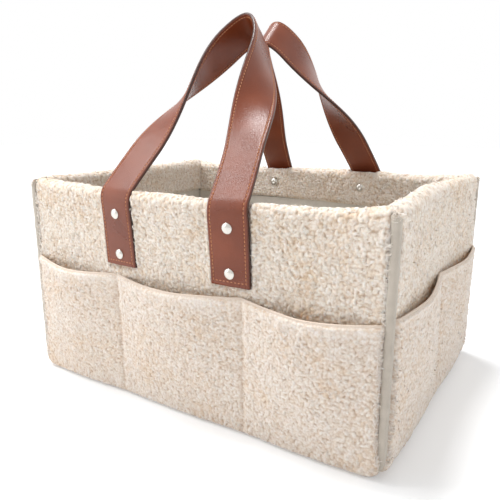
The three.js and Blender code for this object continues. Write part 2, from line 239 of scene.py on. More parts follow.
def woven_cloth(name, dark, light, thread, sheen):
    finish, tree, surface = new_finish(name)
    height = plain_weave(tree, thread)
    slub = pattern(tree, "Noise", 160.0, Detail=5.0).outputs["Fac"]
    # The colour follows the weave relief, lighter on the raised threads and darker between them, which is
    # painted shade; the slub adds flecks of real colour.
    shade = figure(tree, "MULTIPLY_ADD", height, 0.45, 0.1)
    mixed = figure(tree, "MULTIPLY_ADD", slub, 0.6, shade)
    colour = colour_steps(tree, mixed, (0.25, dark), (0.85, light))
    feed(tree, surface, {"Base Color": colour, "Roughness": 0.88, "Sheen Weight": sheen,
                         "Sheen Roughness": 0.5})
    raise_surface(tree, surface, height, 0.5, 0.00025)
    return finish


def chance(i, j, seed):
    word = 0xFFFFFFFF
    mixed = i.astype(np.int64) * 374761393 + j.astype(np.int64) * 668265263
    mixed = (mixed + seed * 69069) & word
    mixed = ((mixed ^ (mixed >> 13)) * 1274126177) & word
    return ((mixed ^ (mixed >> 16)) & 0xFFFF) / 65535.0


def unevenness(u, v, size, seed):
    i = np.floor(u / size)
    j = np.floor(v / size)
    s = u / size - i
    t = v / size - j
    s = s * s * (3 - 2 * s)
    t = t * t * (3 - 2 * t)
    low = chance(i, j, seed) * (1 - s) + chance(i + 1, j, seed) * s
    high = chance(i, j + 1, seed) * (1 - s) + chance(i + 1, j + 1, seed) * s
    return 2 * (low * (1 - t) + high * t) - 1


canvas = woven_cloth("lining_canvas", (0.58, 0.54, 0.475), (0.78, 0.735, 0.665), 0.0009, 0.1)
base_canvas = woven_cloth("base_canvas", (0.46, 0.44, 0.40), (0.62, 0.60, 0.55), 0.0012, 0.05)


def edge_spaced(half, border, count):
    rim = np.array(border)
    inner = np.linspace(-half + rim[-1], half - rim[-1], count)
    return np.concatenate([-half + rim[:-1], inner, half - rim[:-1][::-1]])


base_half_length = 150.8
base_half_width = 114.3
floor_half_width = 110.0
floor_level = 9.65
turned_edge = (0, 0.3, 0.9, 1.8, 3.0)
edge_lift = 3.1
base_x, base_y = np.meshgrid(edge_spaced(base_half_length, turned_edge, 74),
                             edge_spaced(base_half_width, turned_edge, 56))
to_edge = np.minimum(base_half_length - np.abs(base_x), base_half_width - np.abs(base_y))
lift = 1 - np.clip(to_edge / turned_edge[-1], 0, 1)
base_z = 0.25 + edge_lift * (1 - np.sqrt(1 - 0.98 * lift ** 2))
base_z = base_z + 0.2 * unevenness(base_x, base_y, 24, 3)
base_grid = np.stack([base_x, base_y, np.maximum(base_z, 0.05)], axis=-1)[:, ::-1]
base_cloth = cloth_piece("base_cloth", base_grid, lie=base_grid[..., :2])
base_cloth.data.materials.append(base_canvas)
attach(base_cloth, "carrier")
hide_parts("base_panel")

floor_x, floor_y = np.meshgrid(np.linspace(-base_half_length, base_half_length, 94),
                               np.linspace(-floor_half_width, floor_half_width, 70))
floor_z = floor_level + 0.12 * unevenness(floor_x, floor_y, 30, 5)
floor_grid = np.stack([floor_x, floor_y, floor_z], axis=-1)
floor_lining = cloth_piece("floor_lining_sheet", floor_grid, lie=floor_grid[..., :2])
floor_lining.data.materials.append(canvas)
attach(floor_lining, "carrier")
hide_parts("floor_lining")


# Wall linings. The same canvas lines the inside of each wall below the pile facing. The end pieces
# turn in at the foot and lie on the floor edge; all are sewn in at the corners.

half_length = 165.0
half_width = 120.0
rim_height = 178.0
bottom_radius = 14.0
binding_proud = 1.0
long_bulge = 10.0
long_sag = 4.0
end_hollow = 8.0
long_wall = (half_length, half_width, long_bulge, long_sag)
end_wall = (half_width, half_length, -end_hollow, 0.0)
turns = {"front": (1, 0), "right": (0, 1), "back": (-1, 0), "left": (0, -1)}
long_sides = ("front", "back")
end_sides = ("right", "left")


def wall_point(wall, u, v, depth):
    half, reach, bulge, sag = wall
    rise = (v / rim_height) ** 2
    middle = np.cos(np.pi * u / (2 * half)) ** 2
    slack = 1 - (u / half) ** 6
    return np.stack([u, depth - reach - bulge * middle * rise, v - sag * slack * rise], axis=-1)


def turned(points, side):
    c, s = turns[side]
    x, y, z = np.moveaxis(points, -1, 0)
    return np.stack([c * x - s * y, s * x + c * y, z], axis=-1)


def corner_foot(u, inset):
    flat = half_length - bottom_radius
    radius = bottom_radius - inset
    over = np.clip(np.abs(u) - flat, 0, radius)
    return bottom_radius + binding_proud - np.sqrt(radius ** 2 - over ** 2)


lining_top = 142.8
lining_inset = 9.95
lining_depth = 9.75
long_lining_half = 155.0
end_lining_half = 110.0
foot_turn_radius = 4.2
foot_turn_length = 6.6

for side in long_sides:
    t, u = np.meshgrid(np.linspace(0, 1, 50), np.linspace(long_lining_half, -long_lining_half, 110),
                       indexing="ij")
    low = corner_foot(u, lining_inset)
    v = low + (lining_top - low) * t
    depth = lining_depth - 0.25 * unevenness(u, v, 35, 7)
    grid = turned(wall_point(long_wall, u, v, depth), side)
    piece = cloth_piece(side + "_lining_sheet", grid, lie=np.stack([u, v], axis=-1))
    piece.data.materials.append(canvas)
    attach(piece, "carrier")
    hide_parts(side + "_lining")

for side in end_sides:
    s, u = np.meshgrid(np.linspace(-foot_turn_length, lining_top - bottom_radius, 64),
                       np.linspace(end_lining_half, -end_lining_half, 84), indexing="ij")
    bend = np.clip(-s / foot_turn_radius, 0, np.pi / 2)
    depth = bottom_radius - foot_turn_radius * np.cos(bend) - 0.2 * unevenness(u, s, 35, 9)
    v = bottom_radius - foot_turn_radius * np.sin(bend) + np.maximum(s, 0)
    grid = turned(wall_point(end_wall, u, v, depth), side)
    piece = cloth_piece(side + "_lining_sheet", grid, lie=np.stack([u, s], axis=-1))
    piece.data.materials.append(canvas)
    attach(piece, "carrier")
    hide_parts(side + "_lining")


# Pile walls. Each wall is one piece of curly pile cloth, a knitted ground with short wool-like curls.
# It runs up behind the pockets, over the rim, and down the inside as a facing turned under at its edge.

def soft_step(t, low, high):
    x = np.clip((t - low) / (high - low), 0, 1)
    return x * x * (3 - 2 * x)


def curl_field(u, v, size, seed):
    u = u + 0.2 * size * unevenness(u, v, 1.7 * size, seed + 1)
    v = v + 0.2 * size * unevenness(u, v, 1.7 * size, seed + 2)
    i = np.floor(u / size)
    j = np.floor(v / size)
    height = np.zeros_like(u)
    tone = np.full_like(u, 0.5)
    push_u = np.zeros_like(u)
    push_v = np.zeros_like(u)
    for di in (-1, 0, 1):
        for dj in (-1, 0, 1):
            ci = i + di
            cj = j + dj
            du = u / size - ci - 0.5 - 0.8 * (chance(ci, cj, seed + 3) - 0.5)
            dv = v / size - cj - 0.5 - 0.8 * (chance(ci, cj, seed + 4) - 0.5)
            turn = 2.2 + 2.4 * (chance(ci, cj, seed + 5) - 0.5)
            a = (du * np.cos(turn) + dv * np.sin(turn)) / 1.05
            b = (dv * np.cos(turn) - du * np.sin(turn)) / 0.62
            reach = a * a + b * b
            tall = 0.5 + 0.5 * chance(ci, cj, seed + 6)
            dome = tall * np.clip(1 - reach, 0, 1)
            higher = dome > height
            height = np.where(higher, dome, height)
            tone = np.where(higher, chance(ci, cj, seed + 7), tone)
            push_u = np.where(higher, du * dome * size, push_u)
            push_v = np.where(higher, dv * dome * size, push_v)
    return height, tone, push_u, push_v


def stored_value(tree, name):
    reader = tree.nodes.new("ShaderNodeAttribute")
    reader.attribute_name = name
    return reader.outputs["Fac"]


def tinted(tree, blend, share, under, colour):
    mix = tree.nodes.new("ShaderNodeMix")
    mix.data_type = "RGBA"
    mix.blend_type = blend
    feed(tree, mix, {"Factor": share, "A": under, "B": (*colour, 1.0)})
    return mix.outputs["Result"]


def curly_pile(name, tint, warmth):
    finish, tree, surface = new_finish(name)
    nap = stored_value(tree, "nap")
    tone = stored_value(tree, "tone")
    # The colour is painted from curl height (nap) and the nubs: warm tan low between the curls, cream on
    # their tips. This is painted shade in the crevices; the same nubs also give the bump.
    nubs = pattern(tree, "Voronoi", 560.0, Randomness=1.0).outputs["Distance"]
    wool = pattern(tree, "Noise", 1300.0, Detail=3.0, Distortion=0.6).outputs["Fac"]
    tips = figure(tree, "MULTIPLY_ADD", nubs, -0.65, 0.385)
    tips = figure(tree, "MULTIPLY_ADD", wool, 0.34, tips)
    level = figure(tree, "MULTIPLY_ADD", nap, 0.75, tips)
    # Colour steps run from painted crevice shade at the low end to the cream of the curl tips.
    shades = ((0.12, (0.62, 0.475, 0.36)), (0.42, (0.775, 0.67, 0.565)), (0.68, (0.86, 0.785, 0.70)),
              (0.98, (0.93, 0.885, 0.825)))
    tinted_shade_steps = [(place, tuple(np.multiply(shade, tint))) for place, shade in shades]
    cream = colour_steps(tree, level, *tinted_shade_steps)
    share = figure(tree, "POWER", tone, 2.2)
    share = figure(tree, "MULTIPLY", share, warmth)
    tan = tinted(tree, "MULTIPLY", share, cream, (0.92, 0.835, 0.74))
    # Where tone runs past 1.5, on the wall behind the pocket mouths, the colour turns warm brown: painted
    # shade in the gap there.
    gap_shade_share = figure(tree, "MULTIPLY_ADD", tone, 2.0, -3.0)
    gap_shade = tinted(tree, "MULTIPLY", gap_shade_share, tan, (1.0, 0.78, 0.58))
    feed(tree, surface, {"Base Color": gap_shade, "Roughness": 0.95, "Specular IOR Level": 0.2,
                         "Sheen Weight": 0.25, "Sheen Roughness": 0.45, "Subsurface Weight": 0.25,
                         "Subsurface Radius": (0.002, 0.0016, 0.0012), "Subsurface Scale": 1.0})
    raise_surface(tree, surface, tips, 0.36, 0.0009)
    return finish


wall_pile = curly_pile("wall_curl_pile", (0.98, 0.96, 0.945), 0.65)
skin = 1.7
wall_curl = 2.4
wall_curl_foot = 80.0
wall_curl_area = 2.6
wall_brink_share = 0.15
brink_band = (0.9, 2.6)
mesh_pitch = 0.72
hidden_height = 62.0
hidden_pitch = 2.6
fold_centre = 6.8
fold_base = rim_height - fold_centre
fold_radius = fold_centre - skin
facing_drop = 26.0
tuck_radius = 2.4
seam_inset = 5.65
long_edge = half_length - seam_inset
end_edge = half_width - seam_inset
strap_offset = 52.0
strap_width = 32.0
tail_foot = 117.0
rivet_heights = {"lower": 126.5, "upper": 160.0}


def wall_sizes(side):
    long = side in long_sides
    edge = long_edge if long else end_edge
    foot = seam_inset + binding_proud if long else bottom_radius
    return long, edge, fold_base - foot


def wall_skin(s, rise):
    foot_radius = bottom_radius - skin
    past_fold = s - rise - np.pi * fold_radius
    bend = np.clip((s - rise) / fold_radius, 0, np.pi)
    down = np.clip(past_fold, 0, facing_drop)
    tuck = np.clip((past_fold - facing_drop) / tuck_radius, 0, np.pi / 2)
    under = np.clip(-s / foot_radius, 0, np.pi / 2)
    depth = fold_centre - fold_radius * np.cos(bend) - tuck_radius * (1 - np.cos(tuck))
    depth = depth + foot_radius * (1 - np.cos(under))
    v = fold_base - np.clip(rise - s, 0, rise) + fold_radius * np.sin(bend) - down
    v = v - tuck_radius * np.sin(tuck) - foot_radius * np.sin(under)
    face_depth = -np.cos(under) * np.cos(bend) * np.cos(tuck)
    face_v = np.sin(bend) - np.sin(under) - np.sin(tuck)
    return depth, v, face_depth, face_v


def wall_place(side, u, s, height):
    long, edge, straight = wall_sizes(side)
    wall = long_wall if long else end_wall
    rise = fold_base - (corner_foot(u, seam_inset) if long else bottom_radius)
    climb = np.where(s >= straight, s - straight + rise, s * np.where(s > 0, rise / straight, 1.0))
    depth, v, face_depth, face_v = wall_skin(climb, rise)
    at_rim = soft_step(v, rim_height - 16, rim_height - 4) * (1 - soft_step(depth, 3, 8))
    spread = (0.7 if long else 1.5) + 4.0 * at_rim
    shrink = (wall[0] - np.maximum(depth, 5.5) - 0.15) / edge
    u = u + np.sign(u) * spread * soft_step(np.abs(u), edge - 14, edge)
    soft = 1.1 * unevenness(u, v, 55, 11 + turns[side][0]) * soft_step(v, 20, 120)
    rolled = (3.2 if long else 1.8) * soft_step(np.abs(u), edge - 1.6, edge + 0.7) ** 2
    outward = height + soft - rolled
    depth = depth + face_depth * outward
    v = v + face_v * outward
    return turned(wall_point(wall, u * shrink, v, depth), side)


def bay_opening(u, seams):
    seams = np.array(seams)
    bay = np.clip(np.searchsorted(seams, u, side="right"), 1, len(seams) - 1)
    near = seams[bay - 1]
    far = seams[bay]
    along = np.clip((u - near) / (far - near), 0, 1)
    return np.sin(np.pi * along) * soft_step(np.minimum(along, 1 - along), -0.03, 0.05)


pocket_stitch = 60.0
long_seams = (-long_edge, -pocket_stitch, pocket_stitch, long_edge)
end_seams = (-end_edge, 0.0, end_edge)
pocket_mouth = {True: 108.0, False: 110.5}
pocket_gape = {True: 8.5, False: 5.5}
pocket_dip = {True: 2.7, False: 1.0}


def wall_pile_height(side, u, s, seed):
    long, edge, straight = wall_sizes(side)
    v = s + fold_base - straight
    curls, tone, push_u, push_v = curl_field(u, s, wall_curl, seed)
    clumps = 0.5 + 0.5 * unevenness(u, s, 5.5, seed + 20)
    loft = 2.1 + 1.2 * clumps
    past_fold = s - straight - np.pi * fold_radius
    press = 0.8 + 0.2 * soft_step(edge - np.abs(u), 0.0, 4.0)
    press = press * (1 - 0.85 * soft_step(past_fold, facing_drop - 1.5, facing_drop + 1.5))
    puff = 0.0
    if long:
        from_strap = np.abs(u) - strap_offset
        side_gap = np.abs(from_strap) - strap_width / 2
        strapped = (1 - soft_step(side_gap, -2.2, 0.2)) * soft_step(v, tail_foot - 4.5, tail_foot - 0.5)
        strapped = strapped * (1 - soft_step(v, fold_base + 8, fold_base + 12))
        press = press * (1 - 0.72 * strapped)
        back_gap = np.hypot(from_strap, fold_base - past_fold - rivet_heights["upper"])
        press = press * (1 - 0.75 * (1 - soft_step(back_gap, 4.2, 7.2)) * (s > straight + 10))
        puff = 1.3 * np.exp(-((side_gap - 1.7) / 1.7) ** 2)
        puff = puff * soft_step(v, tail_foot - 4, tail_foot) * (v < fold_base + 6)
    height = (0.5 * loft + 0.5 * loft * curls) * press + puff
    opening = bay_opening(u, long_seams if long else end_seams)
    mouth = pocket_mouth[long] - 3 - pocket_dip[long] * opening
    t = np.clip((v - 10) / (mouth - 10), 0, 1)
    room_left = skin - 0.4 + pocket_gape[long] * opening * t * (2 - t)
    room_left = room_left + 40 * soft_step(v, mouth, mouth + 6)
    height = np.minimum(height, np.maximum(room_left, 0.2))
    sway = press * np.clip(height / 2, 0, 1)
    return height, curls, tone, 0.45 * push_u * sway, 0.45 * push_v * sway


def brushed(u, s, tone, seed):
    patches = 0.4 * unevenness(u, s, 26, seed + 30) + 0.3 * unevenness(u, s, 9, seed + 31)
    return np.clip(tone + patches, 0, 1.3)


def add_values(piece, **values):
    for name, array in values.items():
        field = piece.data.attributes.new(name, "FLOAT", "POINT")
        field.data.foreach_set("value", np.ascontiguousarray(array, dtype=np.float32).ravel())


def loose_curls(name, place, u, s, height, edge, seed, stray=0.0):
    rng = np.random.default_rng(seed)
    count = len(u)
    beside_tape = np.abs(u) > edge - 2.7
    height = height + stray * beside_tape
    centre = place(u, s, height)
    along = place(u + 0.5, s, height) - place(u - 0.5, s, height)
    outward = place(u, s, height + 1.0) - centre
    along = along / np.linalg.norm(along, axis=-1, keepdims=True)
    outward = outward / np.linalg.norm(outward, axis=-1, keepdims=True)
    sideways = np.cross(outward, along)
    way = rng.uniform(0, 2 * np.pi, count)
    over_tape = np.where(u > 0, 0.0, np.pi) + 0.35 * (way - np.pi)
    way = np.where(beside_tape, over_tape, way)[:, None]
    lean = np.cos(way) * along + np.sin(way) * sideways
    flat = np.sin(way) * along - np.cos(way) * sideways
    steps = 4
    bend = rng.uniform(-0.4, 0.9, count)[:, None]
    bend = bend + np.linspace(0, 1, steps) * rng.uniform(1.6, 3.6, count)[:, None]
    bend = bend + stray * beside_tape[:, None] * (0.9 - 0.55 * bend)
    length = rng.uniform(1.4, 4.2, count) * np.where(beside_tape, 1.4, 1.0)
    length = length[:, None] / (steps - 1)
    rise = np.cumsum(np.cos(bend) * length, axis=1) - length
    run = np.cumsum(np.sin(bend) * length, axis=1) - length
    swing = 0.45 * np.sin(np.linspace(0, 4.2, steps)[None] + way)
    middle = centre[:, None] + (rise - 0.5)[..., None] * outward[:, None]
    middle = middle + run[..., None] * lean[:, None] + swing[..., None] * flat[:, None]
    taper = np.array((0.6, 1.0, 0.9, 0.3))
    wide = taper[None, :, None] * rng.uniform(0.5, 1.15, count)[:, None, None]
    reach = flat[:, None] * wide * 0.5
    points = np.stack([middle + reach, middle - reach], axis=2)
    first = (np.arange(count) * steps * 2)[:, None] + np.arange(steps - 1)[None] * 2
    quads = np.stack([first, first + 1, first + 3, first + 2], axis=-1).reshape(-1, 4)
    piece = new_piece(name, points, quads.tolist())
    across = int(math.ceil(math.sqrt(count)))
    cell = np.arange(count)
    corner = np.stack([cell % across, cell // across], axis=-1)[:, None, None, :]
    k = np.arange(steps - 1) / (steps - 1)
    k_next = k + 1.0 / (steps - 1)
    chart_u = np.broadcast_to((0.1, 0.9, 0.9, 0.1), (steps - 1, 4))
    chart_v = 0.1 + 0.8 * np.stack([k, k, k_next, k_next], axis=-1)
    chart = (corner + np.stack([chart_u, chart_v], axis=-1)[None]) / across
    add_chart(piece, "OFBake", chart)
    # Each curl is painted darker at its root and lighter towards its tip: painted shade.
    nap = 0.55 + 0.4 * np.linspace(0, 1, steps)[None, :, None] * np.ones((count, 1, 2))
    tone = np.broadcast_to(rng.uniform(0, 0.8, count)[:, None, None], (count, steps, 2))
    add_values(piece, nap=nap, tone=tone)
    return piece


for number, side in enumerate(turns):
    long, edge, straight = wall_sizes(side)
    seed = 100 * number + 13
    total = straight + np.pi * fold_radius + facing_drop + tuck_radius * np.pi / 2
    lowered = 0.0 if long else bottom_radius
    hidden = hidden_height - lowered
    start = [] if long else np.linspace(-(bottom_radius - skin) * np.pi / 2, -0.6, 26)
    rows = np.concatenate([start, np.arange(0, hidden, hidden_pitch),
                           np.arange(hidden, total, mesh_pitch), [total]])
    cols = np.linspace(-edge, edge, int(2 * edge / mesh_pitch))
    s, u = np.meshgrid(rows, cols, indexing="ij")
    height, nap, tone, push_u, push_s = wall_pile_height(side, u, s, seed)
    # Behind the pocket mouths the pile is painted lighter through nap and warm brown through tone:
    # painted light and painted shade in the gap.
    above_mouth = s + fold_base - straight - pocket_mouth[long]
    gap_shade_mask = 1 - soft_step(above_mouth, -11, 7)
    tone = brushed(u, s, tone, seed) + (1.0 if long else 1.7) * gap_shade_mask
    nap = nap + (0.4 if long else 0.25) * gap_shade_mask
    push_u = push_u * soft_step(edge - np.abs(u), 0, 2)
    grid = wall_place(side, u + push_u, s + push_s, height)
    piece = cloth_piece(side + "_pile_wall", grid)
    piece.data.materials.append(wall_pile)
    add_values(piece, nap=nap, tone=tone)
    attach(piece, "carrier")
    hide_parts(side + "_sherpa_panel")

    rng = np.random.default_rng(500 + number)
    count = int(2 * edge * (total - wall_curl_foot) / wall_curl_area)
    fu = rng.uniform(-edge, edge, count)
    fs = rng.uniform(wall_curl_foot - lowered, total - 4, count)
    brink = np.sign(fu) * (edge - rng.uniform(*brink_band, count))
    fu = np.where(rng.uniform(0, 1, count) < wall_brink_share, brink, fu)
    height, nap = wall_pile_height(side, fu, fs, seed)[:2]
    free = (height > 1.5) & (nap > 0.25)
    tufts = loose_curls(side + "_wall_curls", lambda a, b, c: wall_place(side, a, b, c),
                        fu[free], fs[free], height[free], edge, 700 + number, 1.0)
    tufts.data.materials.append(wall_pile)
    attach(tufts, "carrier")


# Pockets. A second panel of shorter pile is sewn on over the lower part of each wall, held at the foot,
# the corners and along upright seams. Its mouth is turned over in smooth cloth and gapes between seams.

pocket_pile = curly_pile("pocket_curl_pile", (0.945, 0.915, 0.905), 0.55)
hem_cloth = woven_cloth("pocket_hem_cloth", (0.70, 0.565, 0.45), (0.81, 0.685, 0.58), 0.0008, 0.2)
pocket_thickness = 4.0
pocket_curl = 2.2
pocket_curl_height = 95.0
pocket_curl_area = 3.0
pocket_brink_share = 0.09
roll_steps = 7
inside_chart = 220.0


def pocket_shape(side, u):
    long = side in long_sides
    opening = bay_opening(u, long_seams if long else end_seams)
    low = corner_foot(u, seam_inset) if long else np.full_like(u, bottom_radius)
    wave = 0.9 * unevenness(u, np.zeros_like(u), 28, 31 + 7 * turns[side][0])
    mouth = pocket_mouth[long] - pocket_dip[long] * opening + wave
    thick = pocket_thickness * (0.55 + 0.45 * opening)
    gape = pocket_gape[long] * opening
    return opening, low, mouth, thick, gape


def pocket_place(side, u, s, height, inner=False):
    long, edge = wall_sizes(side)[:2]
    wall = long_wall if long else end_wall
    opening, low, mouth, thick, gape = pocket_shape(side, u)
    t = np.clip(s / (mouth - low), 0, 1)
    back = -0.3 - gape * t * (2 - t)
    soft = 0.9 * opening * soft_step(s, 4, 40) * (1 + unevenness(u, s, 38, 41 + turns[side][0]))
    back = back - soft * (1 - 0.6 * t)
    ground = np.maximum(thick - 2.3, 0.5)
    hem = soft_step(s, mouth - low - 7, mouth - low - 1)
    ground = ground + hem * (1.5 - ground)
    front = back - (0.0 if inner else ground) - height
    under = np.clip(-s / (bottom_radius + 2), 0, np.pi / 2)
    reach = bottom_radius - front
    u = u + np.sign(u) * 0.7 * soft_step(np.abs(u), wall[0] - 14, edge)
    tucked = (s < 0) & (not long)
    depth = np.where(tucked, bottom_radius - reach * np.cos(under), front)
    v = np.where(tucked, bottom_radius - reach * np.sin(under), low + s)
    depth = depth + 3.4 * soft_step(np.abs(u), wall[0] - 7.0, wall[0] - 4.9) ** 2
    if long:
        past = np.maximum(np.abs(u) - (half_length - bottom_radius), 0.0)
        grow = 0.3 * (1 - soft_step(v, 13, 34))
        u = u + np.sign(u) * past * grow
        v = v - np.maximum(bottom_radius + binding_proud - v, 0.0) * grow
        depth = depth + 2.6 * soft_step(-s, 0.6, 3.2) ** 2
    return turned(wall_point(wall, u, v, depth), side)


def pocket_pile_height(side, u, s, seed):
    long = side in long_sides
    seams = long_seams if long else end_seams
    low, mouth = pocket_shape(side, u)[1:3]
    below = mouth - low - s
    combed = (12.0, 3.0) if long else (5.0, 1.2)
    plain = 2.2 if long else 1.3
    foot = -0.5 if long else -8.0
    curls, tone, push_u, push_v = curl_field(u, s + low, pocket_curl, seed)
    near_mouth = 1 - soft_step(below, combed[1], combed[0])
    curls = curls + 0.5 * near_mouth * (0.62 - curls)
    clumps = 0.5 + 0.5 * unevenness(u, s, 5.0, seed + 20)
    loft = 1.7 + 0.9 * clumps
    press = 0.8 + 0.2 * soft_step(seams[-1] - np.abs(u), 0.0, 4.0)
    wander = 0.8 * unevenness(u * 0, s, 9, 3)
    for seam in seams[1:-1]:
        press = press * (1 - 0.55 * np.exp(-((u - seam - wander) / 2.0) ** 2))
    press = press * (0.1 + 0.9 * soft_step(below, 0.3, plain))
    press = press * (0.35 + 0.65 * soft_step(s, foot - (2.5 if long else 3.0), foot))
    height = (0.5 * loft + 0.5 * loft * curls) * press
    sway = press * np.clip(height / 2, 0, 1)
    # nap sets the painted crevice shade, so the pile is painted darker where it is pressed, at the seams,
    # the foot and the very edge of the mouth, and lighter in the combed band below the mouth.
    nap = curls * (0.35 + 0.65 * press) + 0.2 * near_mouth
    return height, nap, tone, 0.4 * push_u * sway, 0.4 * push_v * sway


for number, side in enumerate(turns):
    long, edge = wall_sizes(side)[:2]
    seed = 1000 + 100 * number
    cols = np.linspace(-edge, edge, int(2 * edge / mesh_pitch))
    low, mouth = pocket_shape(side, cols)[1:3]
    tall = mouth - low
    start = np.linspace(-3.2, -0.7, 5) if long else np.linspace(-11, -0.7, 14)
    k = np.concatenate([np.linspace(0, 0.93, 130), np.linspace(0.936, 1, 11)])
    outer = k[:, None] * tall[None]
    outer = np.concatenate([start[:, None] + 0 * tall[None], outer])
    u = np.broadcast_to(cols, outer.shape)
    height, nap, tone, push_u, push_s = pocket_pile_height(side, u, outer, seed)
    tone = brushed(u, outer, tone, seed)
    push_u = push_u * soft_step(edge - np.abs(u), 0, 2)
    outside = pocket_place(side, u + push_u, outer + push_s, height)
    top_out = outside[-1]
    top_in = pocket_place(side, cols, tall, np.zeros_like(cols), inner=True)
    middle = (top_out + top_in) / 2
    half = (top_out - top_in) / 2
    roll = []
    for angle in np.linspace(0, np.pi, roll_steps + 2)[1:-1]:
        arch = np.linalg.norm(half, axis=-1, keepdims=True) * np.sin(angle)
        roll.append(middle + half * np.cos(angle) + arch * np.array((0.0, 0.0, 1.0)))
    down = np.concatenate([np.linspace(1, 0.94, 6), np.linspace(0.9, 0.02, 34)])
    lining = down[:, None] * tall[None]
    flat_u = np.broadcast_to(cols, lining.shape)
    inside = pocket_place(side, flat_u, lining, np.zeros_like(lining), inner=True)
    grid = np.concatenate([outside, np.array(roll), inside])
    over_mouth = np.broadcast_to(mouth + 1, (roll_steps, len(cols)))
    heights = np.concatenate([outer + low, over_mouth, inside_chart - lining])
    lie = np.stack([np.broadcast_to(cols, heights.shape), heights], axis=-1)
    piece = cloth_piece(side + "_pocket", grid, lie=lie)
    piece.data.materials.append(pocket_pile)
    piece.data.materials.append(hem_cloth)
    bare = np.zeros(heights.shape)
    bare[:len(outer)] = soft_step(outer, tall - 1.0, tall - 0.9)
    bare[len(outer):] = 1
    smooth_faces = bare[:-1, :-1] > 0.5
    piece.data.polygons.foreach_set("material_index", smooth_faces.astype(np.int32).ravel())
    plain = np.ones((len(roll) + len(inside), len(cols)))
    nap = np.concatenate([nap, 0.5 * plain])
    add_values(piece, nap=nap, tone=np.concatenate([tone, 0.4 * plain]))
    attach(piece, "carrier")
    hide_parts(side + "_pocket_panel")

    rng = np.random.default_rng(600 + number)
    count = int(2 * edge * pocket_curl_height / pocket_curl_area)
    fu = rng.uniform(-edge, edge, count)
    brink = np.sign(fu) * (edge - rng.uniform(*brink_band, count))
    fu = np.where(rng.uniform(0, 1, count) < pocket_brink_share, brink, fu)
    low, mouth = pocket_shape(side, fu)[1:3]
    fs = rng.uniform(0, 1, count) * (mouth - low - 3) + (0 if long else -2)
    height, nap = pocket_pile_height(side, fu, fs, seed)[:2]
    free = (height > 1.1) & (nap > 0.25)
    tufts = loose_curls(side + "_pocket_curls", lambda a, b, c: pocket_place(side, a, b, c),
                        fu[free], fs[free], height[free] - 0.3, edge, 800 + number)
    tufts.data.materials.append(pocket_pile)
    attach(tufts, "carrier")


# Seam binding. A woven grey tape is folded round the raw edges where each long wall meets the ends and
# the base, and is sewn through. It runs down one corner, along the foot and up the other corner.

binding_tape = woven_cloth("binding_tape", (0.445, 0.395, 0.33), (0.635, 0.565, 0.48), 0.0006, 0.3)
seam_middle = 2.175
binding_top = 177.4
binding_bend = 171.0
binding_tuck = 7.0
binding_step = 1.3
binding_stitch = 3.4


def binding_path():
    corner = half_length - seam_middle
    flat = half_length - bottom_radius
    low = bottom_radius + binding_proud
    radius = bottom_radius - seam_middle
    half = []
    for v in np.linspace(binding_top, binding_bend + 0.5, 7):
        over = binding_tuck * ((v - binding_bend) / (binding_top - binding_bend)) ** 2
        half.append((corner - over, v, np.pi / 2, over))
    for v in np.arange(binding_bend - 0.5, low, -binding_step):
        half.append((corner, v, np.pi / 2, 0.0))
    for angle in np.linspace(np.pi / 2, 0, 20):
        half.append((flat + radius * np.sin(angle), low - radius * np.cos(angle), angle, 0.0))
    across = np.arange(flat - binding_step, binding_step - flat, -binding_step)
    foot = [(x, low - radius, 0.0, 0.0) for x in across]
    other = [(-x, z, -angle, over) for x, z, angle, over in half[::-1]]
    return half + foot + other


def binding_section():
    k = np.linspace(-1, 1, 15)
    pillow = 2.15 + 0.95 * (1 - np.abs(k) ** 2.6)
    along = -0.4 + 2.8 * k
    side_strip = np.stack([pillow - 0.35, along], axis=-1)
    notch = np.array(((1.1, 1.1),))
    face_strip = np.stack([pillow, along], axis=-1)[::-1, ::-1]
    back = np.array(((-3.1, 1.2), (-3.0, -3.0), (1.2, -3.1)))
    return np.concatenate([side_strip, notch, face_strip, back]).T


for side in long_sides:
    path = np.array(binding_path())
    out, ahead = binding_section()
    gone = np.concatenate([[0], np.cumsum(np.hypot(*np.diff(path[:, :2], axis=0).T))])
    pucker = 0.94 + 0.06 * unevenness(gone, gone * 0, 8, 51)
    pucker = pucker + 0.03 * np.sin(2 * np.pi * gone / binding_stitch)
    pucker = pucker * (0.3 + 0.7 * soft_step(np.minimum(gone, gone[-1] - gone), 0.0, 6.0))
    pucker = pucker * (0.72 + 0.28 * soft_step(path[:, 1], 4.0, 24.0))
    x = path[:, 0:1] + out * pucker[:, None] * np.sin(path[:, 2:3])
    z = path[:, 1:2] - out * pucker[:, None] * np.cos(path[:, 2:3])
    y = seam_middle - half_width + path[:, 3:4] - ahead * pucker[:, None]
    grid = turned(np.stack([x, y, np.maximum(z, 0.0)], axis=-1), side)
    around = np.broadcast_to(np.linspace(0, 22, x.shape[1]), x.shape)
    lie = np.stack([around, np.broadcast_to(gone[:, None], x.shape)], axis=-1)
    piece = cloth_piece(side + "_binding", grid, closed=True, capped=True, lie=lie)
    piece.data.materials.append(binding_tape)
    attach(piece, "carrier")
    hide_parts(side + "_seam_binding")


# Strap handles. Each is one length of brown imitation leather, two layers sewn together with painted
# edges. Both ends lie flat on the wall. The loop bends at the rim, and its legs turn a quarter round.

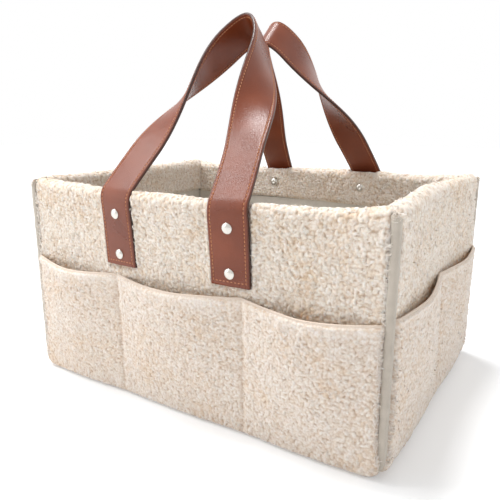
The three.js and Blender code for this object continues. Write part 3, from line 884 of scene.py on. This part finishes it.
strap_brown, tree, surface = new_finish("brown_strap")
edge_share = stored_value(tree, "edge")
cloud = pattern(tree, "Noise", 38.0, Detail=5.0).outputs["Fac"]
grain = pattern(tree, "Voronoi", 1250.0).outputs["Distance"]
pores = pattern(tree, "Noise", 1900.0, Detail=3.0).outputs["Fac"]
browns = colour_steps(tree, cloud, (0.3, (0.168, 0.034, 0.0105)), (0.72, (0.232, 0.053, 0.0185)))
painted = tinted(tree, "MIX", edge_share, browns, (0.042, 0.016, 0.011))
gloss = figure(tree, "MULTIPLY_ADD", cloud, 0.12, 0.23)
feed(tree, surface, {"Base Color": painted, "Roughness": gloss, "Specular IOR Level": 0.42})
creases = figure(tree, "MULTIPLY_ADD", pores, 0.6, grain)
raise_surface(tree, surface, creases, 0.42, 0.00026)

thread_tan, tree, surface = new_finish("tan_thread")
twist = pattern(tree, "Noise", 2600.0).outputs["Fac"]
tans = colour_steps(tree, twist, (0.35, (0.36, 0.125, 0.052)), (0.65, (0.68, 0.31, 0.15)))
feed(tree, surface, {"Base Color": tans, "Roughness": 0.6})
raise_surface(tree, surface, twist, 0.4, 0.0001)

half_strap = strap_width / 2
half_thickness = 1.5
strap_rise = 173.5
tail_top = 165.0
tail_depth = -1.85
bend_gap = 1.8
bend_length = 3.2
meeting_gap = 1.0
leg_start = 0.085
turn_start = 0.3
turn_end = 0.8
edge_round = 1.4
stitch_row = 13.2
stitch_pitch = 2.7
stitch_margin = 3.4
stitch_lift = 1.36
groove_half = 0.8
cross_reach = 10.5
cross_pitch = 3.0
rim = wall_point(long_wall, np.array(strap_offset - half_strap), np.array(fold_base), 0.0)
hinge = np.array((0.0, rim[1] - bend_gap, rim[2] + bend_length))
strap_top = strap_rise + half_thickness
lean = math.asin((-hinge[1] - meeting_gap) / math.hypot(strap_top, half_strap))
lean = lean - math.atan2(half_strap, strap_top)
rise_way = np.array((0.0, math.sin(lean), math.cos(lean)))
plane_way = np.array((0.0, math.cos(lean), -math.sin(lean)))


def strap_half():
    points = []
    across = []
    beside = strap_offset + half_strap * np.array((-0.5, 0.0, 0.5))
    for v in np.arange(tail_foot, tail_top + 0.1, 1.6):
        inner, middle, outer = wall_point(long_wall, beside, v, tail_depth)
        points.append(middle)
        across.append(outer - inner)
    foot = hinge + (strap_offset, 0.0, 0.0)
    controls = np.array(((strap_offset, 0.0), (strap_offset, 0.08 * strap_rise),
                         (strap_offset / 2, strap_rise), (0.0, strap_rise)))

    def leg(t):
        w = np.array(((1 - t) ** 3, 3 * t * (1 - t) ** 2, 3 * t * t * (1 - t), t ** 3))
        x, up = w @ controls
        return hinge + np.array((x, 0.0, 0.0)) + up * rise_way

    start = points[-1]
    flat_way = across[-1]
    end = leg(leg_start)
    for t in np.linspace(0, 1, 9)[1:-1]:
        points.append((1 - t) ** 2 * start + 2 * t * (1 - t) * foot + t * t * end)
        across.append((1 - t) * flat_way + t * np.array((half_strap, 0.0, 0.0)))
    for t in np.linspace(leg_start, 1, 84):
        ahead = leg(min(t + 0.004, 1.0)) - leg(t - 0.004)
        ahead = ahead / np.linalg.norm(ahead)
        outward = np.cross(plane_way, ahead)
        outward = outward * np.sign(outward[0] + 1e-9 if t < 0.9 else outward @ rise_way)
        turn = np.pi / 2 * soft_step(t, turn_start, turn_end)
        points.append(leg(t))
        across.append(plane_way * np.sin(turn) + outward * np.cos(turn))
    return np.array(points), np.array(across)


def strap_path():
    points, across = strap_half()
    mirror = np.array((-1.0, 1.0, 1.0))
    points = np.concatenate([points * mirror, points[:-1][::-1]])
    across = np.concatenate([across * mirror, across[:-1][::-1]])
    ahead = np.gradient(points, axis=0)
    ahead = ahead / np.linalg.norm(ahead, axis=-1, keepdims=True)
    across = across - ahead * np.sum(across * ahead, axis=-1, keepdims=True)
    across = across / np.linalg.norm(across, axis=-1, keepdims=True)
    face = np.cross(ahead, across)
    gone = np.concatenate([[0], np.cumsum(np.linalg.norm(np.diff(points, axis=0), axis=-1))])
    return points, across, face, ahead, gone


def strap_section():
    flat_half = half_strap - edge_round
    groove_rows = np.linspace(-groove_half, groove_half, 8) - stitch_row
    beside_edge = np.concatenate([(-flat_half, -stitch_row - 1.0), groove_rows])
    middle = stitch_row - 1.2
    flat = np.concatenate([beside_edge, np.linspace(-middle, middle, 13), -beside_edge[::-1]])
    half = [(a, half_thickness, 0.0) for a in flat]
    for angle in np.linspace(np.pi / 2, -np.pi / 2, 11)[1:-1]:
        out = np.cos(angle)
        half.append((flat_half + edge_round * out, half_thickness * np.sin(angle), out ** 2))
    half = np.array(half)
    ring = np.concatenate([half, half * (-1, -1, 1)])
    groove = np.exp(-((np.abs(ring[:, 0]) - stitch_row) / 0.5) ** 2) * (ring[:, 2] == 0)
    crown = 0.12 * np.cos(np.pi * ring[:, 0] / (2 * stitch_row)) * (np.abs(ring[:, 0]) < stitch_row)
    ring[:, 1] += np.sign(ring[:, 1]) * (crown - 0.28 * groove)
    return ring


def stitch_bed():
    along = np.array((-1.05, -0.88, -0.45, 0.45, 0.88, 1.05))
    thick = np.array((0.08, 0.31, 0.42, 0.42, 0.31, 0.08))
    lift = np.array((-0.28, -0.1, 0.1, 0.1, -0.1, -0.28))
    turn = np.linspace(0, 2 * np.pi, 6, endpoint=False)
    a = np.broadcast_to(along[:, None], (len(along), len(turn)))
    b = thick[:, None] * np.cos(turn)
    c = thick[:, None] * np.sin(turn) * 0.8 + lift[:, None]
    return np.stack([a, b, c], axis=-1)


def stitches(name, spots, ahead, beside, above):
    shape = stitch_bed()
    rings, sides = shape.shape[:2]
    points = spots[:, None, None] + shape[..., 0:1] * ahead[:, None, None]
    points = points + shape[..., 1:2] * beside[:, None, None] + shape[..., 2:3] * above[:, None, None]
    first = np.arange(len(spots)) * rings * sides
    index = np.arange(rings * sides).reshape(rings, sides)
    far = np.roll(index, -1, axis=1)
    quads = np.stack([index[:-1], index[1:], far[1:], far[:-1]], axis=-1).reshape(-1, 4)
    quads = (quads[None] + first[:, None, None]).reshape(-1, 4)
    ends = [index[0], index[-1][::-1]]
    caps = np.concatenate([end[None] + first[:, None] for end in ends])
    return new_piece(name, points, quads.tolist() + caps.tolist())


def at_length(wanted, gone, values):
    return np.stack([np.interp(wanted, gone, values[:, k]) for k in range(3)], axis=-1)


for side in long_sides:
    points, across, face, ahead, gone = strap_path()
    ring = strap_section()
    swell = 1 + 0.02 * unevenness(gone, gone * 0, 20, 61)
    grid = points[:, None] + across[:, None] * ring[None, :, 0:1]
    grid = grid + face[:, None] * ring[None, :, 1:2] * swell[:, None, None]
    strap = cloth_piece(side + "_strap", turned(grid, side), closed=True, capped=True)
    strap.data.materials.append(strap_brown)
    add_values(strap, edge=np.broadcast_to(ring[:, 2], grid.shape[:2]))

    laid = (points, across, face, ahead)
    last = gone[-1] - stitch_margin
    rows = []
    for sign in (-1, 1):
        for offset in (-stitch_row, stitch_row):
            wanted = np.arange(stitch_margin, last + 0.1, stitch_pitch)
            here, wide, out, way = (at_length(wanted, gone, part) for part in laid)
            rows.append((here + wide * offset + out * sign * stitch_lift, way, wide, out * sign))
        for end in (stitch_margin, last):
            offsets = np.arange(-cross_reach, cross_reach + 0.1, cross_pitch)
            wanted = np.full(len(offsets), end)
            here, wide, out, way = (at_length(wanted, gone, part) for part in laid)
            spots = here + wide * offsets[:, None] + out * sign * half_thickness
            rows.append((spots, wide, way, out * sign))
    seam = stitches(side + "_strap_stitches",
                    *(turned(np.concatenate(part), side) for part in zip(*rows)))
    seam.data.materials.append(thread_tan)
    start = turned(hinge, side) * 0.001
    end = start + turned(rise_way, side) * 0.04
    for piece in (strap, seam):
        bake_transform(piece)
    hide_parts(side + "_handle", side + "_strap_tail_left", side + "_strap_tail_right")


# Rivets. Two double-cap rivets of nickel-plated steel hold each strap end: a domed cap outside, its post
# through the wall, and a pressed cap inside. They are set by hammer after the walls are sewn.

nickel, tree, surface = new_finish("nickel_plate")
haze = pattern(tree, "Noise", 420.0, Detail=4.0).outputs["Fac"]
plate = colour_steps(tree, haze, (0.0, (0.55, 0.525, 0.48)), (1.0, (0.69, 0.665, 0.615)))
dulled = figure(tree, "MULTIPLY_ADD", haze, 0.14, 0.18)
feed(tree, surface, {"Base Color": plate, "Metallic": 1.0, "Roughness": dulled})


def wall_axes(u, v):
    along = wall_point(long_wall, u + 1, v, 0.0) - wall_point(long_wall, u - 1, v, 0.0)
    upward = wall_point(long_wall, u, v + 1, 0.0) - wall_point(long_wall, u, v - 1, 0.0)
    along = along / np.linalg.norm(along)
    outward = np.cross(along, upward)
    outward = outward / np.linalg.norm(outward)
    return wall_point(long_wall, u, v, 0.0), along, outward, np.cross(outward, along)


def lathe(centre, along, outward, upward, profile):
    turn = np.linspace(0, 2 * np.pi, 36, endpoint=False)
    spokes = np.cos(turn)[:, None] * along + np.sin(turn)[:, None] * upward
    return np.array([centre + outward * level + spokes * radius for radius, level in profile])


cap_outline = ((2.0, -13.0), (2.0, -0.1), (3.75, -0.1), (4.0, 0.12), (4.04, 0.36), (3.95, 0.6),
               (3.7, 0.84), (3.24, 1.12), (2.55, 1.42), (1.75, 1.64), (0.85, 1.78), (0.02, 1.82))
back_outline = ((2.0, -2.0), (3.8, 0.0), (4.0, 0.2), (4.0, 0.5), (3.7, 0.8), (2.8, 1.2), (1.6, 1.44),
                (1.3, 1.36), (0.02, 1.32))
cap_seat = 3.45
back_seats = {"lower": 10.0, "upper": 13.3}
hands = {"front": {1: "right", -1: "left"}, "back": {1: "left", -1: "right"}}
for side in long_sides:
    for sign, hand in hands[side].items():
        for level, v in rivet_heights.items():
            centre, along, outward, upward = wall_axes(strap_offset * sign, v)
            cap = lathe(centre + outward * cap_seat, along, outward, upward, cap_outline)
            back = lathe(centre - outward * back_seats[level], along, -outward, -upward, back_outline)
            for kind, rings in (("cap", cap), ("back", back)):
                name = f"{side}_rivet_{kind}_{hand}_{level}"
                piece = cloth_piece(name + "_set", turned(rings, side), closed=True, capped=True)
                piece.data.materials.append(nickel)
                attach(piece, "carrier")
                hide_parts(name)


# Dividers. Two padded panels of the lining canvas over board stand across the inside. Each has a flange
# turned out at both ends, a bound top edge, and lifts out when its hook tape is peeled off the wall.

edge_tape = woven_cloth("divider_edge_tape", (0.40, 0.385, 0.35), (0.58, 0.56, 0.52), 0.0006, 0.1)
divider_canvas = woven_cloth("divider_canvas", (0.56, 0.52, 0.455), (0.76, 0.715, 0.645), 0.0009, 0.1)
divider_middle = 84.0
divider_corner = 5.0
panel_half = 2.5
panel_reach = 96.0
pad_foot = 10.0
pad_height = 120.0
flange_half = 1.5
flange_line = 103.1
flange_end = 108.3
divider_foot = 10.15
edging_foot = 129.5
edging_base = 136.0
edging_crown = 1.9


def divider_plan():
    plan = []
    turn_x = divider_middle + divider_corner
    turn_y = divider_corner - flange_line
    for x in np.linspace(flange_end, turn_x, 12):
        plan.append((x, -flange_line, 0.0, -1.0, flange_half))
    for angle in np.linspace(0.15, 1, 6) * np.pi / 2:
        out_x = -np.sin(angle)
        out_y = -np.cos(angle)
        plan.append((turn_x + divider_corner * out_x, turn_y + divider_corner * out_y, out_x, out_y,
                     flange_half - out_x))
    for y in np.linspace(-panel_reach, 0, 30):
        plan.append((divider_middle, y, -1.0, 0.0, panel_half))
    other = [(x, -y, out_x, -out_y, thick) for x, y, out_x, out_y, thick in plan[::-1][1:]]
    return np.array(plan + other)


def divider_profile():
    pad = np.linspace(pad_foot + 0.6, edging_foot - 0.1, 40)
    fold = edging_foot + np.array((0.1, 0.9, 1.7))
    edging = np.linspace(edging_foot + 2.5, edging_base, 5)
    up = np.concatenate([[divider_foot], pad, fold, edging])
    swell = 0.35 * np.sin(np.pi * np.clip((up - pad_foot) / pad_height, 0, 1))
    swell = swell + 0.4 * soft_step(up, edging_foot - 0.1, edging_foot + 0.9)
    swell = swell - 0.3 * np.exp(-((up - edging_foot + 0.7) / 0.7) ** 2)
    wide = 1 + swell / panel_half
    wide[0] = 0.75
    over = np.linspace(0, np.pi, 9)[1:-1]
    across = np.concatenate([wide, np.cos(over) * wide[-1], -wide[::-1]])
    level = np.concatenate([up, edging_base + edging_crown * np.sin(over), up[::-1]])
    return across, level


for side in end_sides:
    plan = divider_plan()
    across, level = divider_profile()
    tape = level > edging_foot
    pad = plan[:, 4:5]
    x = plan[:, 0:1] + plan[:, 2:3] * across * pad
    y = plan[:, 1:2] + plan[:, 3:4] * across * pad
    z = np.broadcast_to(level, x.shape)
    flip = 1.0 if side == "right" else -1.0
    grid = np.stack([flip * x, flip * y, z], axis=-1)
    gone = np.concatenate([[0], np.cumsum(np.hypot(*np.diff(plan[:, :2], axis=0).T))])
    around = np.concatenate([[0], np.cumsum(np.hypot(np.diff(across * panel_half), np.diff(level)))])
    lie = np.stack(np.broadcast_arrays(gone[:, None], around[None]), axis=-1)
    panel = cloth_piece(side + "_divider", grid, closed=True, capped=True, lie=lie)
    panel.data.materials.append(divider_canvas)
    panel.data.materials.append(edge_tape)
    taped = np.broadcast_to(tape & np.roll(tape, -1), (len(plan) - 1, len(tape))).ravel()
    panel.data.polygons.foreach_set("material_index", np.concatenate([taped, [0, 0]]).astype(np.int32))
    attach(panel, side + "_divider")
    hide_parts(side + "_divider_panel")


# Hook and loop tape. A strip of hook tape is sewn on each divider flange, and the loop tape that it grips
# is sewn on the wall lining. Both are woven nylon with a low, bristly face.

hook_tape, tree, surface = new_finish("hook_and_loop_tape")
bristle = pattern(tree, "Voronoi", 900.0).outputs["Distance"]
# The colour follows the bristle relief, lighter on the bristles and darker between them: painted shade.
stubble = figure(tree, "SUBTRACT", 1.0, bristle)
nylon = colour_steps(tree, stubble, (0.0, (0.46, 0.43, 0.38)), (1.0, (0.68, 0.65, 0.59)))
feed(tree, surface, {"Base Color": nylon, "Roughness": 0.75})
raise_surface(tree, surface, stubble, 0.8, 0.0006)
tape_half_width = 8.9
tape_half_length = 47.9
tape_offset = 97.5
tape_height = 76.0
tape_edge = (0, 0.0, 0.25, 0.8, 1.6)
hook_face = 104.65
hook_thickness = 1.1
loop_face = 9.85
loop_thickness = 1.5


def tape_patch(name, place):
    p, q = np.meshgrid(edge_spaced(tape_half_width, tape_edge, 20),
                       edge_spaced(tape_half_length, tape_edge, 96))
    inner = np.minimum(tape_half_width - np.abs(p), tape_half_length - np.abs(q))
    rim = soft_step(inner, -0.1, 0.7)
    rim[0, :] = rim[-1, :] = 0
    rim[:, 0] = rim[:, -1] = 0
    nub = (0.22 * np.abs(np.sin(p * 2.4) * np.sin(q * 2.4))) * (inner > 1.7)
    piece = cloth_piece(name, place(p, q, rim, nub))
    piece.data.materials.append(hook_tape)
    return piece


for side in end_sides:
    flip = 1.0 if side == "right" else -1.0
    for facing, way in (("front", -1.0), ("back", 1.0)):
        def hook_place(p, q, rim, nub):
            x = flip * tape_offset - way * p
            y = way * (hook_face + rim * hook_thickness + nub)
            return np.stack([x, y, tape_height + q], axis=-1)

        hook = tape_patch(f"{side}_hook_tape_{facing}", hook_place)
        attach(hook, side + "_divider")
        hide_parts(f"{side}_divider_hook_{facing}")

for side in long_sides:
    for sign, hand in hands[side].items():
        def loop_place(p, q, rim, nub):
            depth = loop_face + rim * loop_thickness + nub
            return turned(wall_point(long_wall, sign * tape_offset - p, tape_height + q, depth), side)

        loop = tape_patch(f"{side}_loop_strip_{hand}", loop_place)
        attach(loop, "carrier")
        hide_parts(f"{side}_loop_tape_{hand}")
